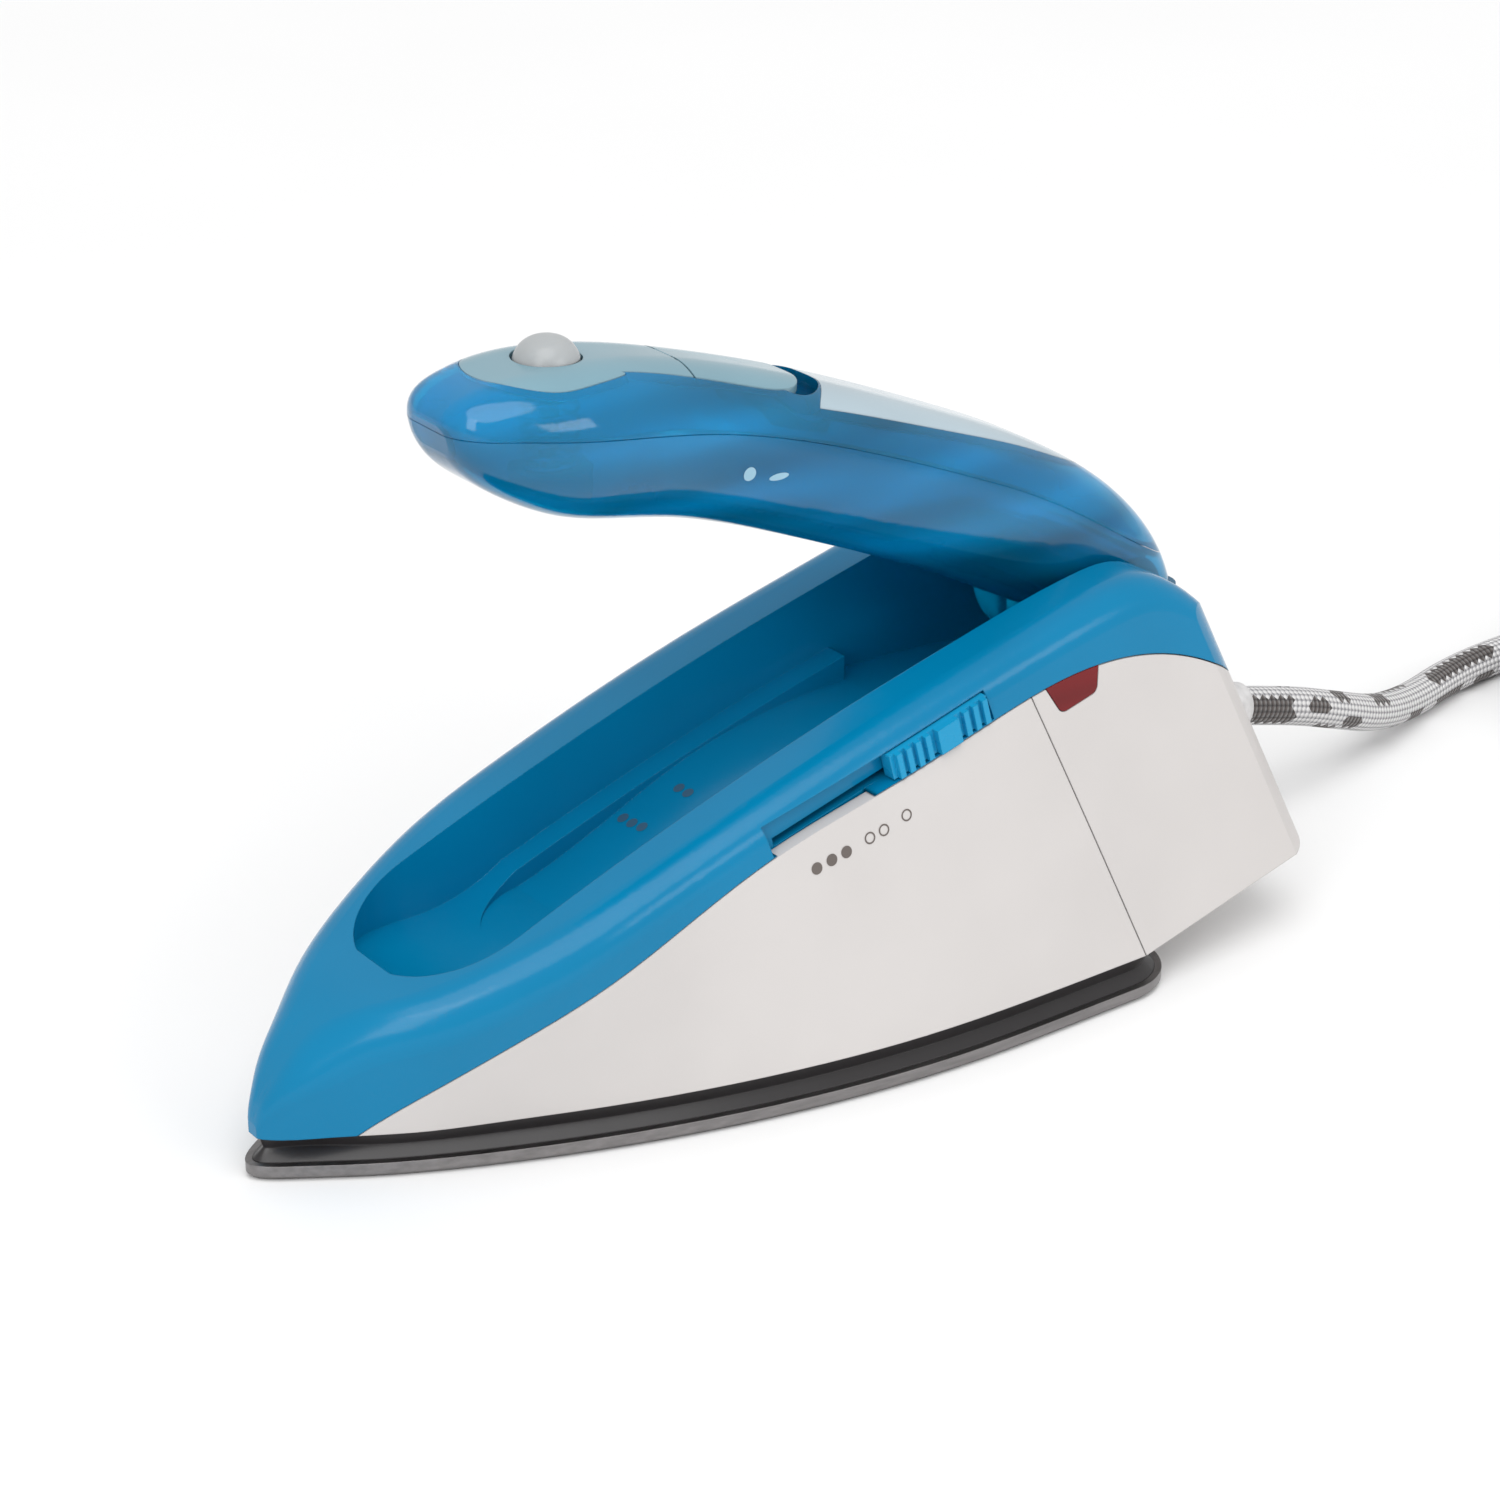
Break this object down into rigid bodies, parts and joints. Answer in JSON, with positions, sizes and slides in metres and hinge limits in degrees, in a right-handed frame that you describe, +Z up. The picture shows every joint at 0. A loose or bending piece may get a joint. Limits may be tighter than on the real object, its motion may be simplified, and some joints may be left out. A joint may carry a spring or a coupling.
{
  "type": "travel steam iron",
  "caption": "Compact steam iron: boat-shaped sole, white skirt, blue cover with a trough, and a clear blue tank handle that folds down into it, with a side slider and a braided cord.",
  "frame": {"origin": "centre of the iron's box without its cord, on the surface that the sole rests on", "axes": "+X to the nose, +Y to the side with the temperature slider, +Z up"},
  "size_m": [0.4067, 0.1424, 0.1312],
  "materials": {
    "sole_metal": "satin",
    "dark_trim": "satin",
    "silicone": "matt",
    "sheet_metal": "brushed",
    "screw_steel": "bright",
    "ceramic": "glazed ceramic",
    "white_plastic": "smooth",
    "blue_plastic": "smooth",
    "clear_blue": "translucent tinted plastic",
    "grey_panel": "smooth",
    "milky_plastic": "milky",
    "red_lens": "clear red",
    "lamp_glass": "clear",
    "brass": "satin",
    "braid": "woven braid",
    "white_rubber": "matt",
    "dark_rubber": "matt"
  },
  "bodies": {
    "base": {"soleplate": "sole_metal", "sole_surround": "dark_trim", "chamber_gasket": "silicone", "steam_chamber_lid": "sheet_metal", "heating_element": "sheet_metal", "element_terminals": "sheet_metal", "heat_shield_frame": "dark_trim", "frame_screws": "screw_steel", "thermostat": "ceramic", "thermal_fuse": "ceramic", "terminal_block": "white_plastic", "terminal_screws": "screw_steel", "neon_lamp": "lamp_glass", "front_skirt": "white_plastic", "rear_cover": "white_plastic", "rear_screws": "screw_steel", "top_cover": "blue_plastic", "lamp_lens": "red_lens", "hinge_pin": "screw_steel", "friction_washers": "silicone", "pin_elbow": "white_plastic", "water_tube": "silicone", "drip_valve": "brass", "strain_relief": "white_rubber", "cord_tube": "braid", "inner_lead": "braid", "cord_clamp": "white_plastic", "lead_wires": "silicone", "cord_coil": "braid", "cord_tie": "dark_rubber", "cord_tail": "braid", "plug_body": "white_rubber", "plug_blades": "brass"},
    "handle": {"tank_shell": "clear_blue", "handle_top_shell": "clear_blue", "button_panel": "grey_panel", "rear_panel": "grey_panel", "valve_seat": "white_plastic", "button_spring": "screw_steel"},
    "steam_button": {"steam_button": "milky_plastic"},
    "filler_lid": {"filler_lid": "grey_panel"},
    "slider": {"temperature_slider": "blue_plastic"},
    "thermostat_shaft": {"thermostat_spindle": "brass"}
  },
  "joints": [
    {"name": "handle_fold", "type": "hinge", "parent": "base", "child": "handle", "pos_m": [-0.0738, 0, 0.062], "axis": [0, 1, 0], "range_deg": [0, 31.5]},
    {"name": "button_press", "type": "slide", "parent": "handle", "child": "steam_button", "axis": [0, 0, -1], "range_m": [0, 0.0025], "stiffness_N_per_m": 1200, "springref_m": -0.001, "deforming": ["button_spring"]},
    {"name": "filler_lid_hinge", "type": "hinge", "parent": "handle", "child": "filler_lid", "pos_m": [0.017, 0, 0.1232], "axis": [0, 1, 0], "range_deg": [0, 95]},
    {"name": "temperature_slide", "type": "slide", "parent": "base", "child": "slider", "axis": [0.965, 0, -0.2622], "range_m": [0, 0.024]},
    {"name": "thermostat_turn", "type": "hinge", "parent": "base", "child": "thermostat_shaft", "pos_m": [-0.009, 0, 0.0134], "axis": [0, 0, 1], "range_deg": [-55.6, 0]}
  ],
  "couplings": [
    {"joint": "thermostat_turn", "follows": "temperature_slide", "rad_per_m": -40.4}
  ]
}
